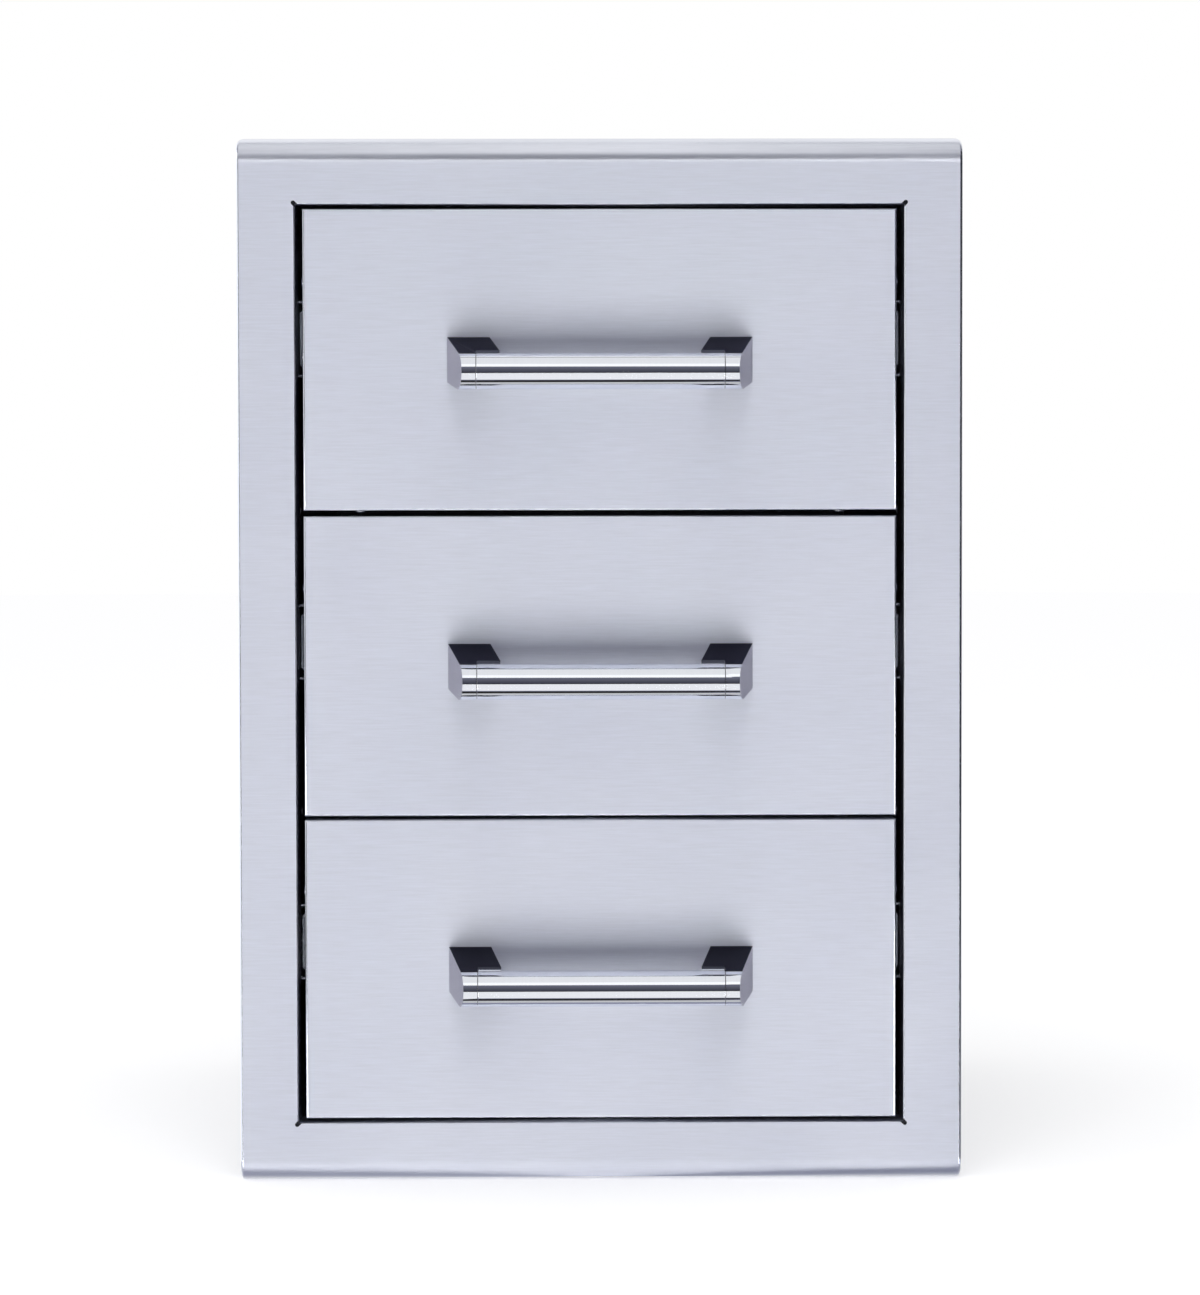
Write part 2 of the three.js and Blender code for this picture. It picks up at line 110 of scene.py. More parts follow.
def pick(piece, kind, test):
    """In edit mode, select the vertices, edges or faces that pass the test."""
    take(piece)
    bpy.ops.object.mode_set(mode="EDIT")
    bpy.ops.mesh.select_mode(type=kind)
    bpy.ops.mesh.select_all(action="DESELECT")
    mesh = bmesh.from_edit_mesh(piece.data)
    items = {"VERT": mesh.verts, "EDGE": mesh.edges, "FACE": mesh.faces}[kind]
    chosen = [item for item in items if test(item)]
    for item in chosen:
        item.select_set(True)
    mesh.select_flush_mode()
    bmesh.update_edit_mesh(piece.data)
    return len(chosen)


def near(a, b):
    """Whether two places are the same."""
    return abs(a - b) < touching


def facing(axis, sign):
    """A test for faces that look one way along an axis."""
    return lambda face: face.normal[axis] * sign > square


def across(face, axis):
    """Whether a face looks along an axis, either way."""
    return abs(face.normal[axis]) > square


def along(edge, axis):
    """Whether an edge runs along one axis."""
    run = edge.verts[1].co - edge.verts[0].co
    return abs(run[axis]) > 0.999 * run.length


def on(item, axis, place):
    """Whether every corner of an edge or face lies on one plane."""
    return all(near(v.co[axis], place) for v in item.verts)


def is_fold(edge):
    """Whether two sheets meet at an angle along an edge."""
    return len(edge.link_faces) == 2 and edge.calc_face_angle() > radians(45)


# %% Modelling helpers
def named(piece, name):
    """Name a piece and its mesh."""
    piece.name = name
    piece.data.name = name
    return piece


def settle(name):
    """Put the new piece's place into its mesh and name it."""
    bpy.ops.object.transform_apply(location=True, rotation=True, scale=True)
    return named(bpy.context.object, name)


def modify(piece, name, kind, **settings):
    """Apply a modifier with its settings."""
    take(piece)
    modifier = piece.modifiers.new(name, kind)
    for key, value in settings.items():
        setattr(modifier, key, value)
    bpy.ops.object.modifier_apply(modifier=name)


def block(name, low, high):
    """A box between two corners."""
    calm()
    centre = [(a + b) / 2 for a, b in zip(low, high)]
    bpy.ops.mesh.primitive_cube_add(size=1, location=centre)
    bpy.context.object.scale = [b - a for a, b in zip(low, high)]
    return settle(name)


def round_rod(name, centre, radius, length, axis, sides=32):
    """A cylinder about a centre, along one axis."""
    calm()
    turn = {"X": (0, pi / 2, 0), "Y": (pi / 2, 0, 0), "Z": (0, 0, 0)}[axis]
    bpy.ops.mesh.primitive_cylinder_add(
        vertices=sides, radius=radius, depth=length, location=centre, rotation=turn)
    return settle(name)


def bevel(piece, test, size, steps):
    """Round the edges that pass the test."""
    pick(piece, "EDGE", test)
    bpy.ops.mesh.bevel(offset=size, segments=steps)
    calm()


def drop_faces(piece, test):
    """Delete the faces that pass the test."""
    pick(piece, "FACE", test)
    bpy.ops.mesh.delete(type="FACE")
    calm()


def extrude(move):
    """Extrude what is selected, and move it."""
    bpy.ops.mesh.extrude_region_move(TRANSFORM_OT_translate={"value": move})


def drag(piece, test, move):
    """Extrude the edges that pass the test, and move them."""
    pick(piece, "EDGE", test)
    extrude(move)
    calm()


def shift(piece, test, move):
    """Move the vertices that pass the test."""
    pick(piece, "VERT", test)
    bpy.ops.transform.translate(value=move)
    calm()


def slice_at(piece, place, normal, test=lambda face: True, **options):
    """Cut the faces that pass the test along a plane."""
    pick(piece, "FACE", test)
    bpy.ops.mesh.bisect(plane_co=place, plane_no=normal, **options)
    calm()


def face_outwards(piece):
    """Turn every face the same way out."""
    pick(piece, "FACE", lambda face: True)
    bpy.ops.mesh.normals_make_consistent(inside=False)
    calm()


def thicken(piece, sheet):
    """Give a folded surface the thickness of its sheet, on its inner side."""
    modify(piece, "sheet", "SOLIDIFY", thickness=sheet, offset=-1, use_even_offset=True)


def cut_with(piece, *cutters):
    """Cut pieces out of a piece, and throw the cutters away."""
    for cutter in cutters:
        modify(piece, "hole", "BOOLEAN", operation="DIFFERENCE", solver="EXACT", object=cutter)
        bpy.data.objects.remove(cutter)


def merge(piece, *others):
    """Join other meshes into a piece."""
    take(piece)
    for other in others:
        other.select_set(True)
    bpy.ops.object.join()
    return piece


def soften(piece, size, steps, sharper_than=35):
    """Take the sharpness off every edge with a turn of more than some degrees."""
    modify(piece, "edge", "BEVEL", width=size, segments=steps, limit_method="ANGLE",
           angle_limit=radians(sharper_than))


def ease(piece):
    """Take the sharpness off a sheet's cut edges."""
    soften(piece, 0.15 * mm, 1, sharper_than=60)


def copy_of(piece, name, move=(0, 0, 0), mirror=False):
    """A copy with its own mesh, moved or mirrored left to right."""
    twin = piece.copy()
    twin.data = piece.data.copy()
    named(twin, name)
    bpy.context.scene.collection.objects.link(twin)
    if mirror:
        twin.data.transform(Matrix.Scale(-1, 4, (1, 0, 0)))
        twin.data.flip_normals()
    twin.data.transform(Matrix.Translation(move))
    return twin


def hand_over(piece, material, body, slot, *nodes):
    """Finish a piece: smooth shading, material, body and the CAD nodes that it stands for; slot is not
    used.
    """
    take(piece)
    bpy.ops.object.shade_smooth_by_angle(angle=radians(32))
    modify(piece, "flat_faces", "WEIGHTED_NORMAL", weight=100, keep_sharp=True)
    piece.data.materials.clear()
    piece.data.materials.append(material)
    mark_edges(piece)
    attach(piece, body)
    if nodes:
        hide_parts(*nodes)
    calm()
    return piece


def paint_faces(piece, material, test):
    """Give some faces of a finished piece a material of their own."""
    piece.data.materials.append(material)
    for face in piece.data.polygons:
        if test(face):
            face.material_index = len(piece.data.materials) - 1


def is_side_fold(face):
    """Whether a face belongs to a bend between the front and a side: neither flat nor on a roll."""
    leans = 0.05 < abs(face.normal.x) < 0.995
    return leans and abs(face.normal.z) < 0.3


print("helpers ready")

# %% [markdown]
# ## Materials: a grain shared by all brushed sheet
#
# Brushed steel is scratched by a belt in one direction. The scratches are far longer than they are wide,
# so a noise is stretched along X until it reads as lines. The group puts out a mask of lines and one of
# soft clouds, which stand for uneven pressure of the belt and for wiped finger marks. Each material
# turns the masks into its own colour, roughness and bump.

# %% Nodes
def give(node, values):
    """Fill a node's inputs by name or number: a socket is linked, anything else is set."""
    for key, value in values.items():
        if isinstance(value, bpy.types.NodeSocket):
            node.id_data.links.new(value, node.inputs[key])
        else:
            node.inputs[key].default_value = value


def node_in(tree, kind, values=None, **settings):
    """A new node, with its settings and its inputs."""
    node = tree.nodes.new(kind)
    for name, value in settings.items():
        setattr(node, name, value)
    give(node, values or {})
    return node


def maths(tree, operation, a, b):
    """What a Math node makes of two numbers or sockets."""
    return node_in(tree, "ShaderNodeMath", {0: a, 1: b}, operation=operation).outputs[0]


def group_of(name, inputs, outputs):
    """A new node group with its sockets, and what its input node puts out."""
    tree = bpy.data.node_groups.new(name, "ShaderNodeTree")
    for label, (kind, value) in inputs.items():
        made = tree.interface.new_socket(name=label, in_out="INPUT", socket_type=kind)
        if value is not None:
            made.default_value = value
    for label in outputs:
        tree.interface.new_socket(name=label, in_out="OUTPUT", socket_type="NodeSocketFloat")
    return tree, node_in(tree, "NodeGroupInput").outputs


print("nodes ready")

# %% Node group: belt grain
def make_grain_group():
    """Masks of belt lines and of soft clouds."""
    tree, entry = group_of("belt_grain", {"Vector": ("NodeSocketVector", None),
                                          "Lines per metre": ("NodeSocketVector", (30.0, 1500.0, 1500.0))},
                           ("Lines", "Clouds"))
    scaled = node_in(tree, "ShaderNodeVectorMath", {0: entry["Vector"], 1: entry["Lines per metre"]},
                     operation="MULTIPLY")
    lines = node_in(tree, "ShaderNodeTexNoise",
                    {"Vector": scaled.outputs["Vector"], "Scale": 1.0, "Detail": 3.0, "Roughness": 0.65})
    clouds = node_in(tree, "ShaderNodeTexNoise",
                     {"Vector": entry["Vector"], "Scale": 14.0, "Detail": 4.0})
    node_in(tree, "NodeGroupOutput", {"Lines": lines.outputs["Fac"], "Clouds": clouds.outputs["Fac"]})
    return tree


belt_grain = make_grain_group()
print("group:", belt_grain.name)

# %% Node group: edge wear
def make_wear_group():
    """A mask of patches that are worn bright, on edges alone."""
    tree, entry = group_of("edge_wear", {"Vector": ("NodeSocketVector", None),
                                         "Edge": ("NodeSocketFloat", 0.0)}, ("Wear",))
    patches = node_in(tree, "ShaderNodeTexNoise",
                      {"Vector": entry["Vector"], "Scale": 140.0, "Detail": 3.0})
    worn = maths(tree, "MULTIPLY", entry["Edge"], patches.outputs["Fac"])
    node_in(tree, "NodeGroupOutput", {"Wear": worn})
    return tree


edge_wear = make_wear_group()
edge_width = 0.5 * mm


def mark_edges(piece):
    """Store on every face whether it is one of the narrow faces of a softened edge."""
    points = piece.data.vertices
    mark = piece.data.attributes.new("edge", "FLOAT", "FACE")
    for face in piece.data.polygons:
        longest = max((points[a].co - points[b].co).length for a, b in face.edge_keys)
        mark.data[face.index].value = float(face.area < edge_width * longest)


print("group:", edge_wear.name)

# %% Steel from its numbers
lines_share = 0.6
clouds_share = 0.4
wear_gain = 1.16
wear_polish = 0.08


def blend(tree, mask, dark, light):
    """A colour between two, by a mask."""
    values = {"A": dark, "B": light, "Factor": mask}
    return node_in(tree, "ShaderNodeMix", values, data_type="RGBA").outputs["Result"]


def spread(tree, mask, low, high):
    """A mask moved into a range."""
    values = {"Value": mask, "From Min": 0.3, "From Max": 0.7, "To Min": low, "To Max": high}
    return node_in(tree, "ShaderNodeMapRange", values).outputs["Result"]


def object_place(tree):
    """Where a point lies on the object, in metres."""
    return node_in(tree, "ShaderNodeTexCoord").outputs["Object"]


def object_height(tree):
    """How high a point lies on the object."""
    return node_in(tree, "ShaderNodeSeparateXYZ", {"Vector": object_place(tree)}).outputs["Z"]


def new_material(name):
    """A new material and its shader."""
    material = bpy.data.materials.new(name)
    material.use_nodes = True
    return material, material.node_tree.nodes["Principled BSDF"]


def steel(name, colour, roughness, lines, grain_depth, anisotropy=0.0,
          spread_of_colour=0.03, spread_of_roughness=0.05):
    """Bare steel. lines gives how many grain lines a metre holds along X, Y and Z."""
    material, shader = new_material(name)
    tree = material.node_tree
    place = object_place(tree)
    grain = node_in(tree, "ShaderNodeGroup", {"Vector": place, "Lines per metre": lines},
                    node_tree=belt_grain)
    edge = node_in(tree, "ShaderNodeAttribute", attribute_name="edge")
    wear = node_in(tree, "ShaderNodeGroup", {"Vector": place, "Edge": edge.outputs["Fac"]},
                   node_tree=edge_wear)
    dark, light, worn = ((*[min(1, c * gain) for c in colour], 1)
                         for gain in (1 - spread_of_colour, 1 + spread_of_colour, wear_gain))
    mask = maths(tree, "ADD", maths(tree, "MULTIPLY", grain.outputs["Lines"], lines_share),
                 maths(tree, "MULTIPLY", grain.outputs["Clouds"], clouds_share))
    tone = blend(tree, spread(tree, mask, 0, 1), dark, light)
    rough = spread(tree, mask, roughness - spread_of_roughness, roughness + spread_of_roughness)
    polish = maths(tree, "MULTIPLY", wear.outputs["Wear"], wear_polish)
    bump = node_in(tree, "ShaderNodeBump",
                   {"Strength": 1.0, "Distance": grain_depth, "Height": grain.outputs["Lines"]})
    give(shader, {"Metallic": 1.0, "Anisotropic": anisotropy, "Anisotropic Rotation": 0.25,
                  "Base Color": blend(tree, wear.outputs["Wear"], tone, worn),
                  "Roughness": maths(tree, "SUBTRACT", rough, polish), "Normal": bump.outputs["Normal"]})
    if anisotropy:
        tangent = node_in(tree, "ShaderNodeTangent", direction_type="RADIAL", axis="Z")
        give(shader, {"Tangent": tangent.outputs["Tangent"]})
    return material


def polish_above(material, start, end, roughness):
    """Let the roughness change to another value between two heights."""
    tree = material.node_tree
    shader = tree.nodes["Principled BSDF"]
    height = node_in(tree, "ShaderNodeMapRange",
                     {"Value": object_height(tree), "From Min": start, "From Max": end},
                     interpolation_type="SMOOTHSTEP")
    change = node_in(tree, "ShaderNodeMix",
                     {"A": shader.inputs["Roughness"].links[0].from_socket, "B": roughness,
                      "Factor": height.outputs["Result"]}, data_type="FLOAT")
    give(shader, {"Roughness": change.outputs["Result"]})


def tint_gloss(material, tint):
    """Darken the gloss at grazing angles too: part of the painted shade on the dark materials that use it.
    """
    give(material.node_tree.nodes["Principled BSDF"], {"Specular Tint": (*tint, 1)})


across_front = (40, 900, 900)
along_depth = (500, 60, 500)
round_the_bar = (2600, 90, 90)
down_the_post = (1700, 300, 1700)
any_way = (900, 900, 900)

brushed_trim, brushed_front = (
    steel(name, colour, 0.62, across_front, 0.008 * mm, anisotropy=0.8, spread_of_colour=0.06)
    for name, colour in (("brushed_trim", (0.80, 0.82, 0.89)), ("brushed_front", (0.81, 0.83, 0.90))))
# Black paint for the relief slots' walls and floor: painted shade that stands in for the dark inside a deep
# slot.
slot_painted_shade = steel("slot_painted_shade", (0.03, 0.03, 0.035), 0.55, across_front, 0.004 * mm)
tint_gloss(slot_painted_shade, (0.1, 0.1, 0.12))
fold_polish = steel("fold_polish", (0.80, 0.82, 0.89), 0.22, across_front, 0.003 * mm)
case_sheet = steel("case_sheet", (0.52, 0.53, 0.56), 0.38, along_depth, 0.006 * mm)
drawer_sheet = steel("drawer_sheet", (0.55, 0.56, 0.59), 0.36, along_depth, 0.006 * mm)
bar_polish = steel("handle_bar", (0.80, 0.82, 0.87), 0.055, round_the_bar, 0.0005 * mm,
                   spread_of_colour=0.02, spread_of_roughness=0.02)
post_satin = steel("handle_post", (0.66, 0.63, 0.68), 0.24, down_the_post, 0.004 * mm)
# Near-black paint for the posts' flat tops: a painted reflection of the shaded front above them.
painted_reflection_top = steel("post_top_painted_reflection", (0.05, 0.05, 0.058), 0.20, down_the_post, 0.002 * mm)
tint_gloss(painted_reflection_top, (0.45, 0.45, 0.5))
slide_strip = steel("slide_rail", (0.46, 0.48, 0.51), 0.30, along_depth, 0.004 * mm)
cage_strip = steel("ball_cage", (0.36, 0.38, 0.40), 0.34, along_depth, 0.004 * mm)
screw_steel = steel("screw_steel", (0.62, 0.63, 0.65), 0.20, any_way, 0.003 * mm)
print("materials:", len(bpy.data.materials))

# %% [markdown]
# ## The trim
#
# The trim is one sheet: its top and bottom edges are rolled back in a wide quarter turn, its sides are
# folded sharply, and four flanges are folded back around the opening. A slot at each corner of the
# opening keeps the folds from tearing. It could be drawn as a profile and swept, but the four sides
# differ, so a box is simpler: its edges are bevelled to the radius of each bend, the rear is opened into
# lips, and the sheet gets its thickness. The bends at the opening are sharper than the sheet is thick,
# so they're bevelled after that.

# %% Trim: outer form and lips
trim_low, trim_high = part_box("front_frame")
trim_sheet = 1.2 * mm
trim_roll = 12.5 * mm
trim_side_bend = 1.6 * mm
trim_lip = 12 * mm
lip_plane = 0.0
trim_face = trim_low.y

trim = block("trim", trim_low, (trim_high.x, lip_plane, trim_high.z))
bevel(trim, lambda e: along(e, 0) and on(e, 1, trim_face), trim_roll, steps=14)
pick(trim, "FACE", facing(1, 1))
bpy.ops.mesh.inset(thickness=trim_lip, use_even_offset=True)
bpy.ops.mesh.delete(type="FACE")
calm()


def is_side_edge(edge):
    """Whether the trim's side meets its front or a roll along an edge."""
    at_side = on(edge, 0, trim_low.x) or on(edge, 0, trim_high.x)
    return at_side and not on(edge, 1, lip_plane) and any(abs(f.normal.x) < 0.5 for f in edge.link_faces)


bevel(trim, is_side_edge, trim_side_bend, steps=5)
print("trim outline:", len(trim.data.polygons), "faces")

# %% Trim: the opening and its flanges
opening_half = 181.1 * mm
opening_low = 28.6 * mm
opening_high = 576.9 * mm
opening_bend = 0.6 * mm
flange_end = trim_high.y
first_inset = 20 * mm


def is_large_front(face):
    """Whether a face is the trim's large front face, or the window cut out of it."""
    return face.normal.y < -square and face.calc_area() > large_area


pick(trim, "FACE", is_large_front)
bpy.ops.mesh.inset(thickness=first_inset, use_even_offset=True)
calm()
window = max((f for f in trim.data.polygons if f.normal.y < -square), key=lambda f: f.area)
rim = [trim.data.vertices[i].co.copy() for i in window.vertices]
rim_left, rim_right = min(v.x for v in rim), max(v.x for v in rim)
rim_low, rim_high = min(v.z for v in rim), max(v.z for v in rim)


def on_rim(v, axis, place):
    """Whether a vertex of the window's rim lies at a place along an axis."""
    inside = abs(v.co.x) < rim_right + mm and rim_low - mm < v.co.z < rim_high + mm
    return inside and near(v.co.y, trim_face) and near(v.co[axis], place)


for side_x, wanted in ((rim_left, -opening_half), (rim_right, opening_half)):
    shift(trim, lambda v: on_rim(v, 0, side_x), (wanted - side_x, 0, 0))
for end_z, wanted in ((rim_low, opening_low), (rim_high, opening_high)):
    shift(trim, lambda v: near(abs(v.co.x), opening_half) and near(v.co.z, end_z), (0, 0, wanted - end_z))
pick(trim, "FACE", is_large_front)
extrude((0, flange_end - trim_face, 0))
bpy.ops.mesh.delete(type="FACE")
calm()
thicken(trim, trim_sheet)


def at_corner(v):
    """Whether a vertex lies at a corner of the opening."""
    return near(abs(v.co.x), opening_half) and (near(v.co.z, opening_low) or near(v.co.z, opening_high))


bevel(trim, lambda e: on(e, 1, trim_face) and all(at_corner(v) for v in e.verts), opening_bend, steps=4)
print("opening", round(2 * opening_half / mm, 1), "by", round((opening_high - opening_low) / mm, 1), "mm")

# %% Trim: relief slots
slot_width = 2.6 * mm
slot_reach = 2.6 * mm
# The slots stop short of the back of the sheet, so each one has a floor that takes the black painted shade.
slot_depth = 0.85 * trim_sheet
slot_start = -2 * mm
round_end = 0.98


def relief_cutter(x_sign, z_sign):
    """A cutter with a rounded end on the diagonal of one corner, shallower than the sheet."""
    z = opening_high if z_sign > 0 else opening_low
    half = slot_width / 2
    cutter = block("cutter", (slot_start, trim_face - mm, -half),
                   (slot_reach, trim_face + slot_depth, half))
    bevel(cutter, lambda e: along(e, 1) and on(e, 0, slot_reach), round_end * half, steps=6)
    cutter.data.transform(Matrix.Rotation(-atan2(z_sign, x_sign), 4, "Y"))
    cutter.data.transform(Matrix.Translation((x_sign * opening_half, 0, z)))
    return cutter


cut_with(trim, *[relief_cutter(x, z) for x in (-1, 1) for z in (-1, 1)])
print("relief slots: 4")

# %% Trim: the top roll's rounded ends
round_width = 3.0 * mm
round_height = 6.5 * mm
round_zone = 6 * mm

for point in trim.data.vertices:
    rise = (point.co.z - trim_high.z + round_height) / round_height
    if rise > 0 and abs(point.co.x) > trim_high.x - round_zone:
        inward = round_width * (1 - (1 - min(1, rise) ** 2) ** 0.5)
        point.co.x -= inward if point.co.x > 0 else -inward
print("rounded over", round(round_height / mm, 1), "mm")

# %% Trim: finish
slot_zone = 1.2 * slot_reach
roll_start = trim_high.z - trim_roll
polish_fade = 0.25 * trim_roll
roll_roughness = 0.28


def in_slot(face):
    """Whether a face belongs to a relief slot."""
    corner_z = opening_high if face.center.z > trim_high.z / 2 else opening_low
    beside = max(abs(abs(face.center.x) - opening_half), abs(face.center.z - corner_z)) < slot_zone
    return beside and 0.1 * slot_depth < face.center.y - trim_face < 1.05 * slot_depth


hand_over(trim, brushed_trim, "case", "brushed_trim", "front_frame")
paint_faces(trim, fold_polish, is_side_fold)
# The relief slots' walls and floor are painted black: painted shade.
paint_faces(trim, slot_painted_shade, in_slot)
polish_above(brushed_trim, roll_start - polish_fade, roll_start, roll_roughness)
print("trim:", len(trim.data.polygons), "faces")

# %% [markdown]
# ## The drawer fronts
#
# Each front is a shallow pan: a face with four edges folded back. The folds meet at the corners in an
# open seam, because the sheet can't be folded in two directions at once. One front is modelled at the
# lower drawer, and the others are copies moved up to where the CAD model has them.

# %% Drawer names and heights
drawers = ("lower", "middle", "upper")
front_low, front_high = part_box("lower_drawer_front")
lift = {name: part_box(f"{name}_drawer_front")[0].z - front_low.z for name in drawers}
print({name: round(rise / mm, 1) for name, rise in lift.items()})


def for_each_drawer(piece, kind, material, slot, body="{}_drawer"):
    """Move copies of the lower drawer's piece to the other drawers, and hand them all over."""
    twins = []
    for name in drawers:
        twin = piece if name == "lower" else copy_of(piece, kind, (0, 0, lift[name]))
        twins.append(named(twin, f"{name}_{kind}"))
    for name, twin in zip(drawers, twins):
        hand_over(twin, material, body.format(name), slot, f"{name}_{kind}")
    return twins


# %% Front
front_sheet = 1.2 * mm
front_bend = 1.1 * mm
seam = 0.5 * mm
seam_start = 2.8 * front_bend
seam_reach = 3 * mm

front = block("front", front_low, front_high)
drop_faces(front, facing(1, 1))
thicken(front, front_sheet)
bevel(front, lambda e: on(e, 1, front_low.y), front_bend, steps=5)


def corner_seam(x_sign, z_sign):
    """A thin cutter on the diagonal of one corner, behind the bend."""
    cutter = block("cutter", (-seam_reach, front_low.y + seam_start, -seam / 2),
                   (seam_reach, front_high.y + mm, seam / 2))
    cutter.data.transform(Matrix.Rotation(-atan2(z_sign, x_sign), 4, "Y"))
    z = front_high.z if z_sign > 0 else front_low.z
    x = front_high.x if x_sign > 0 else front_low.x
    cutter.data.transform(Matrix.Translation((x, 0, z)))
    return cutter


cut_with(front, *[corner_seam(x, z) for x in (-1, 1) for z in (-1, 1)])
fronts = for_each_drawer(front, "drawer_front", brushed_front, "brushed_front")
for piece in fronts:
    paint_faces(piece, fold_polish, is_side_fold)
print("fronts:", [f.name for f in fronts])

# %% [markdown]
# ## The handles
#
# A polished tube lies between two cast posts. Seen from the side, a post is its flat base and the
# tube's round front with flat faces stretched between them. Drawing those tangent lines is fiddly, but
# they are just what a convex hull makes: a rod and a thin plate, wrapped. Two slanting cuts then give
# the posts their lean towards each other, and the tube's own shape cuts its cradle. The caps in line
# with the tube are polished like it, the sides are satin, and the flat tops are painted near black as a
# painted reflection of the shaded front above them.

# %% Handle measures
bar_low, bar_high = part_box("lower_handle_bar")
bar_radius = (bar_high.z - bar_low.z) / 2
bar_centre = (bar_low + bar_high) / 2
post_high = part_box("lower_handle_post_right")[1]
post_base = post_high.y
post_half = 13.4 * mm
bar_drop = 7.8 * mm
base_middle = bar_centre.z + bar_drop
bar_reach = post_base - bar_centre.y
post_outer = post_high.x
post_width = 25.2 * mm
post_lean = 7.25 * mm
cap_inner = bar_high.x + 0.3 * mm
cradle_reach = 29 * mm
seat = 0.3 * mm
print("bar", round(2 * bar_radius / mm, 1), "mm across,", round(bar_reach / mm, 1), "mm from the front")

# %% Bar
bar_wall = 1.5 * mm
bar_bore_shown = 12 * mm

bar = round_rod("bar", bar_centre, bar_radius, bar_high.x - bar_low.x, "X", sides=96)
for way in (-1, 1):
    pick(bar, "FACE", facing(0, way))
    bpy.ops.mesh.inset(thickness=bar_wall)
    extrude((-way * bar_bore_shown, 0, 0))
    calm()
soften(bar, 0.2 * mm, 2)
for_each_drawer(bar, "handle_bar", bar_polish, "handle_bar")
print("bars: 3")

# %% Post: hull and lean
blank_inner = 48 * mm
blank_outer = 100 * mm
plate = 0.4 * mm

post = round_rod("post", ((blank_inner + blank_outer) / 2, bar_centre.y, bar_centre.z), bar_radius,
                 blank_outer - blank_inner, "X", sides=128)
foot = block("foot", (blank_inner, post_base - plate, base_middle - post_half),
             (blank_outer, post_base, base_middle + post_half))
merge(post, foot)
bpy.ops.object.mode_set(mode="EDIT")
bpy.ops.mesh.select_all(action="SELECT")
bpy.ops.mesh.convex_hull()
bpy.ops.mesh.dissolve_limited(angle_limit=radians(0.5))
calm()
for x, way in ((post_outer, 1), (post_outer - post_width, -1)):
    slice_at(post, (x, post_base, 0), (way * bar_reach, -way * post_lean, 0),
             use_fill=True, clear_outer=True)
print("post blank:", len(post.data.polygons), "faces")

# %% Post: cradle for the bar
cradle_face = post_base - cradle_reach
cut_start = blank_inner - mm
cut_front = post_base - 60 * mm
cut_half = 40 * mm

gap_block = block("cutter", (cut_start, cut_front, bar_centre.z - cut_half),
                  (cap_inner, cradle_face, bar_centre.z + cut_half))
groove = round_rod("cutter", ((cut_start + cap_inner) / 2, bar_centre.y, bar_centre.z),
                   bar_radius + seat, cap_inner - cut_start, "X", sides=128)
cut_with(post, gap_block, groove)
soften(post, 0.35 * mm, 3, sharper_than=25)
left_post = copy_of(post, "post_left", mirror=True)
print("post:", len(post.data.polygons), "faces")

# %% Posts: finish
flat_area = (8 * mm) ** 2


def is_cap(face):
    """Whether a face lies in line with the bar, beyond its end."""
    return face.center.y < cradle_face + mm and abs(face.normal.x) < 0.5


def is_flat_top(face):
    """Whether a face is a post's flat upper or lower side."""
    return face.area > flat_area and abs(face.normal.z) > 0.8


post_pieces = for_each_drawer(post, "handle_post_right", post_satin, "handle_post")
post_pieces += for_each_drawer(left_post, "handle_post_left", post_satin, "handle_post")
for piece in post_pieces:
    paint_faces(piece, bar_polish, is_cap)
    # The flat tops get the near-black paint: a painted reflection of the shaded front.
    paint_faces(piece, painted_reflection_top, is_flat_top)
    softened = [mark.value for mark in piece.data.attributes["edge"].data]
    paint_faces(piece, bar_polish, lambda f: softened[f.index] > 0.5)
print("posts:", [p.name for p in post_pieces])

# %% [markdown]
# ## Behind each front
#
# A liner closes the front from behind, and the drawer box is a tub with a back let into it. Both are
# folded sheet. They are boxes with some faces left off, flanges extruded from the open edges, bends
# bevelled, and a thickness given last, which keeps every bend's inner and outer radius true.

# %% Liner
liner_sheet = 1 * mm
liner_bend = 1.6 * mm
liner_low, liner_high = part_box("lower_drawer_liner")
access_radius = 6 * mm
handle_screw_x = post_outer - post_width / 2

liner = block("liner", liner_low, liner_high)
drop_faces(liner, facing(1, -1))
bevel(liner, lambda e: on(e, 1, liner_high.y), liner_bend, steps=4)
thicken(liner, liner_sheet)
cut_with(liner, *[
    round_rod("cutter", (x, liner_high.y, base_middle), access_radius, 10 * mm, "Y", sides=40)
    for x in (-handle_screw_x, handle_screw_x)])
for_each_drawer(liner, "drawer_liner", drawer_sheet, "drawer_sheet")
print("liner:", len(liner.data.polygons), "faces")

# %% Tub: bottom, sides and flanges
tub_sheet = 1 * mm
tub_bend = 1.6 * mm
tub_flange = 14 * mm
tub_corner_gap = 2.4 * mm
tub_low, tub_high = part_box("lower_drawer_tub")
tub_half = 169.4 * mm
flange_under = tub_high.z - tub_sheet

tub = block("tub", (-tub_half, tub_low.y, tub_low.z), (tub_half, tub_high.y, flange_under))
drop_faces(tub, lambda f: across(f, 1) or f.normal.z > square)
for way in (-1, 1):
    slice_at(tub, (way * (tub_half - tub_corner_gap), 0, 0), (1, 0, 0), lambda f: f.normal.z < -square)
slice_at(tub, (0, 0, tub_low.z + tub_flange + mm), (0, 0, 1), lambda f: across(f, 0))


def is_front_middle(e):
    """Whether an edge is the long middle one at the foot of the tub's front."""
    return on(e, 1, tub_low.y) and on(e, 2, tub_low.z) and abs(e.verts[0].co.x + e.verts[1].co.x) < mm


def is_front_upright(e, x):
    """Whether an edge stands at one side of the tub's front and reaches its top."""
    return on(e, 1, tub_low.y) and on(e, 0, x) and max(v.co.z for v in e.verts) > flange_under - mm


